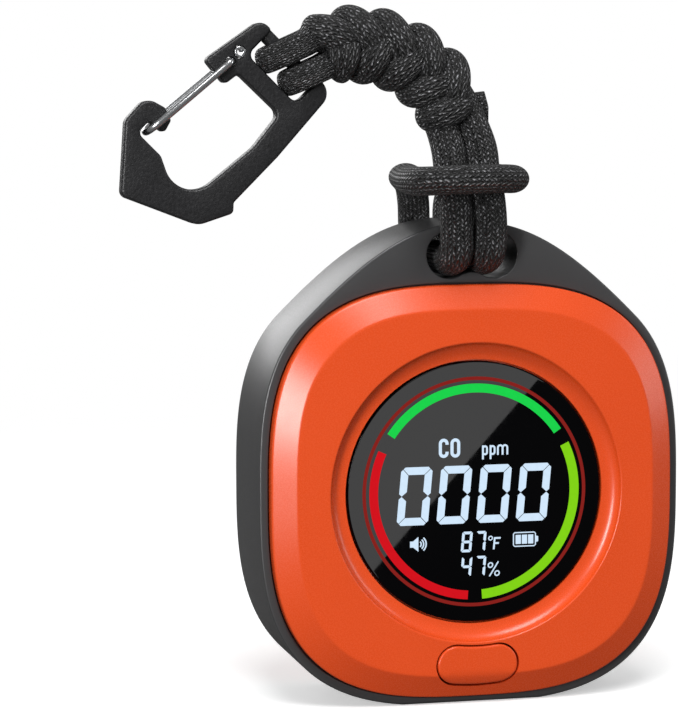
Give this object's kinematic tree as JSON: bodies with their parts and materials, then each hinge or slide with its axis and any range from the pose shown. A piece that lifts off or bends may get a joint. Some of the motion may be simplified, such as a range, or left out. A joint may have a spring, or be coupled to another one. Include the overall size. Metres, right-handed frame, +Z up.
{
  "type": "carbon monoxide detector",
  "caption": "Portable carbon monoxide detector in a rounded square housing with a round display, a test button, a magnetic back and a paracord lanyard with a wire-gate clip.",
  "frame": {"origin": "middle of the housing's flat base: the lowest point of the housing, half its width and half its whole thickness, the lanyard left out", "axes": "+Z up, from the flat base to the lanyard lug; the display faces -Y and the magnet +Y; +X is on the right of a person who faces the display"},
  "size_m": [0.0891, 0.0356, 0.1087],
  "materials": {
    "orange_abs": "moulded, fine matt",
    "graphite_frame": "satin graphite paint",
    "black_glass": "polished, printed black behind",
    "lcd": "dark display panel",
    "diffuser": "milky diffuser",
    "white_plastic": "moulded white",
    "board": "green solder mask",
    "black_part": "black electronic part",
    "steel": "bright steel",
    "polished_wire": "polished spring steel wire",
    "sensor_white": "off-white sensor housing",
    "felt": "grey felt",
    "foil": "laminated foil",
    "foam": "closed-cell foam",
    "nickel": "nickel plate",
    "paracord": "black braided nylon",
    "powder_black": "black powder coat"
  },
  "bodies": {
    "housing": {"mid_frame": "graphite_frame", "front_cover": "orange_abs", "rear_cover": "orange_abs", "display_lens": "black_glass", "lcd_panel": "lcd", "backlight": "diffuser", "display_holder": "white_plastic", "main_board": "board", "tact_switch": "black_part", "microcontroller": "black_part", "climate_sensor": "steel", "co_sensor": "sensor_white", "sensor_filter": "felt", "buzzer": "black_part", "battery_pad": "foam", "battery_cell": "foil", "charge_board": "board", "charge_port": "steel", "board_link": "black_part", "magnet": "nickel", "magnet_retainer": "white_plastic", "hitch_cord": "paracord", "rear_screw_1": "steel", "board_screw_1": "steel", "rear_screw_2": "steel", "board_screw_2": "steel", "rear_screw_3": "steel", "board_screw_3": "steel"},
    "button": {"test_button": "orange_abs"},
    "lanyard": {"plait": "paracord", "clip_loop_1": "paracord", "clip_loop_2": "paracord"},
    "clip": {"clip_frame": "powder_black", "gate_rivet": "steel"},
    "gate": {"wire_gate": "polished_wire"}
  },
  "joints": [
    {"name": "button_push", "type": "slide", "parent": "housing", "child": "button", "axis": [0, 1, 0], "range_m": [0, 0.0005], "stiffness_N_per_m": 3000, "springref_m": -0.0003},
    {"name": "lanyard_sway", "type": "hinge", "parent": "housing", "child": "lanyard", "pos_m": [-0.00275, -0.0099, 0.0916], "axis": [0, 1, 0], "range_deg": [-25, 60]},
    {"name": "clip_tilt", "type": "hinge", "parent": "lanyard", "child": "clip", "pos_m": [-0.02829, -0.0093, 0.10003], "axis": [-0.7071, 0, 0.7071], "range_deg": [-40, 40]},
    {"name": "gate_open", "type": "hinge", "parent": "clip", "child": "gate", "pos_m": [-0.03826, -0.0093, 0.10039], "axis": [0, 1, 0], "range_deg": [-28, 0], "stiffness_Nm_per_rad": 0.02, "springref_deg": 5.73}
  ]
}
